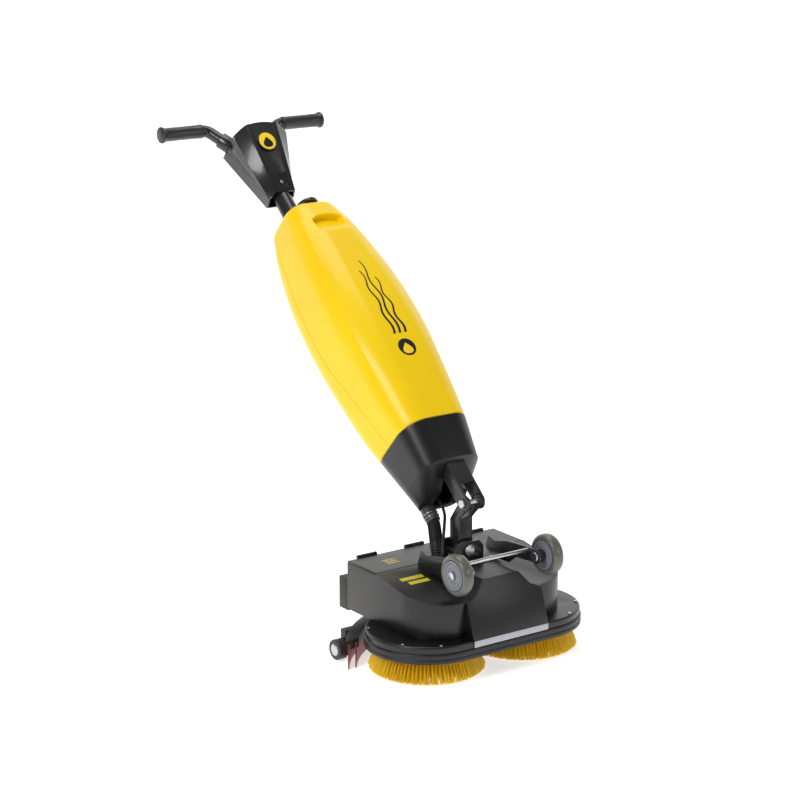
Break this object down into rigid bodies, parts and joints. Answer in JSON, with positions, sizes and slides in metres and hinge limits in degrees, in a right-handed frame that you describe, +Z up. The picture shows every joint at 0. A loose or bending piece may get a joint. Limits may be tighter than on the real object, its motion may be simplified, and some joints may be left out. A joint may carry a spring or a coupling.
{
  "type": "floor scrubber machine",
  "caption": "Upright walk-behind floor scrubber: flat deck on twin disc brushes with a rear squeegee, and a leaning column with water tanks, console and T-handlebar.",
  "frame": {"origin": "on the floor midway between the two brush centres", "axes": "+Z up, -Y towards the front of the machine, +Y towards the operator, +X to the right seen from the front"},
  "size_m": [0.4938, 0.9613, 0.9465],
  "materials": {
    "charcoal_plastic": "satin",
    "black_gloss": "gloss",
    "tank_yellow": "gloss",
    "bristle_yellow": "matte",
    "black_steel": "satin",
    "bright_steel": "satin",
    "cast_alloy": "satin",
    "bumper_rubber": "matte",
    "blade_rubber": "satin",
    "hose_rubber": "satin",
    "wheel_tread": "matte",
    "wheel_grey": "satin",
    "strip_grey": "satin",
    "badge_yellow": "gloss",
    "button_red": "satin",
    "button_green": "satin",
    "button_blue": "satin",
    "circuit_green": "satin"
  },
  "bodies": {
    "root": {"deck_chassis": "black_steel", "deck_skirt": "charcoal_plastic", "bumper_ring": "bumper_rubber", "deck_housing": "charcoal_plastic", "front_panel": "charcoal_plastic", "reflective_strip": "strip_grey", "rear_cover": "charcoal_plastic", "lid_hinges": "bright_steel", "brush_gearboxes": "cast_alloy", "brush_motors": "black_steel", "battery_pack": "cast_alloy", "control_board": "circuit_green", "suction_duct": "charcoal_plastic", "wheel_bracket": "black_steel", "cross_rod": "bright_steel", "wheel_bolts": "bright_steel", "base_yoke": "black_steel", "roll_pin": "bright_steel", "deck_fasteners": "bright_steel", "suction_hose_lower": "hose_rubber", "cable_lower": "hose_rubber"},
    "brush_left": {"bristles_left": "bristle_yellow", "brush_disc_left": "charcoal_plastic", "drive_hub_left": "bright_steel"},
    "brush_right": {"bristles_right": "bristle_yellow", "brush_disc_right": "charcoal_plastic", "drive_hub_right": "bright_steel"},
    "lid": {"battery_lid": "charcoal_plastic"},
    "wheel_left": {"wheel_tyre_left": "wheel_tread", "wheel_hub_left": "wheel_grey"},
    "wheel_right": {"wheel_tyre_right": "wheel_tread", "wheel_hub_right": "wheel_grey"},
    "squeegee": {"squeegee_body": "charcoal_plastic", "squeegee_blades": "blade_rubber", "squeegee_pins": "bright_steel"},
    "caster_left": {"end_wheel_left": "bumper_rubber"},
    "caster_right": {"end_wheel_right": "bumper_rubber"},
    "yoke": {"swivel_yoke": "black_steel", "suction_hose_upper": "hose_rubber", "cable_upper": "hose_rubber"},
    "column": {"tilt_bracket": "black_steel", "tilt_pin": "bright_steel", "motor_cup": "charcoal_plastic", "cup_cover": "charcoal_plastic", "vacuum_motor": "charcoal_plastic", "column_tube": "black_gloss", "console_front": "black_gloss", "console_back": "black_gloss", "handlebar": "black_gloss", "bar_clamp": "cast_alloy", "bar_collars": "black_gloss", "grips": "hose_rubber", "control_panel": "charcoal_plastic", "badge": "badge_yellow"},
    "clean_tank": {"solution_tank": "tank_yellow"},
    "cap": {"fill_cap": "black_gloss"},
    "dirty_tank": {"recovery_tank": "tank_yellow"},
    "power_key": {"power_button": "button_red"},
    "brush_key": {"brush_button": "button_green"},
    "water_key": {"water_button": "button_blue"}
  },
  "joints": [
    {"name": "brush_left_spin", "type": "hinge", "parent": "root", "child": "brush_left", "pos_m": [-0.1125, 0, 0.05], "axis": [0, 0, 1], "continuous": true},
    {"name": "brush_right_spin", "type": "hinge", "parent": "root", "child": "brush_right", "pos_m": [0.1125, 0, 0.05], "axis": [0, 0, 1], "continuous": true},
    {"name": "lid_hinge", "type": "hinge", "parent": "root", "child": "lid", "pos_m": [0, 0.1735, 0.1785], "axis": [-1, 0, 0], "range_deg": [0, 35]},
    {"name": "wheel_left_spin", "type": "hinge", "parent": "root", "child": "wheel_left", "pos_m": [-0.107, -0.089, 0.206], "axis": [1, 0, 0], "continuous": true},
    {"name": "wheel_right_spin", "type": "hinge", "parent": "root", "child": "wheel_right", "pos_m": [0.107, -0.089, 0.206], "axis": [1, 0, 0], "continuous": true},
    {"name": "squeegee_lift", "type": "slide", "parent": "root", "child": "squeegee", "axis": [0, 0, 1], "range_m": [0, 0.012]},
    {"name": "caster_left_spin", "type": "hinge", "parent": "squeegee", "child": "caster_left", "pos_m": [-0.227, 0.129, 0.02], "axis": [1, 0, 0], "continuous": true},
    {"name": "caster_right_spin", "type": "hinge", "parent": "squeegee", "child": "caster_right", "pos_m": [0.227, 0.129, 0.02], "axis": [1, 0, 0], "continuous": true},
    {"name": "column_roll", "type": "hinge", "parent": "root", "child": "yoke", "pos_m": [0, 0.043, 0.206], "axis": [0, 1, 0], "range_deg": [-35, 35], "deforming": ["suction_hose_lower", "cable_lower"]},
    {"name": "column_tilt", "type": "hinge", "parent": "yoke", "child": "column", "pos_m": [0, 0.01, 0.304], "axis": [1, 0, 0], "range_deg": [-27, 48], "deforming": ["suction_hose_upper", "cable_upper"]},
    {"name": "clean_tank_release", "type": "slide", "parent": "column", "child": "clean_tank", "axis": [0, -0.6691, 0.7431], "range_m": [0, 0.15]},
    {"name": "dirty_tank_release", "type": "slide", "parent": "column", "child": "dirty_tank", "axis": [0, 0.6691, -0.7431], "range_m": [0, 0.15]},
    {"name": "fill_cap_lift", "type": "slide", "parent": "clean_tank", "child": "cap", "axis": [0, 0.7431, 0.6691], "range_m": [0, 0.03]},
    {"name": "power_press", "type": "slide", "parent": "column", "child": "power_key", "axis": [0, -0.7431, -0.6691], "range_m": [0, 0.002], "stiffness_N_per_m": 400},
    {"name": "brush_press", "type": "slide", "parent": "column", "child": "brush_key", "axis": [0, -0.7431, -0.6691], "range_m": [0, 0.002], "stiffness_N_per_m": 400},
    {"name": "water_press", "type": "slide", "parent": "column", "child": "water_key", "axis": [0, -0.7431, -0.6691], "range_m": [0, 0.002], "stiffness_N_per_m": 400}
  ]
}
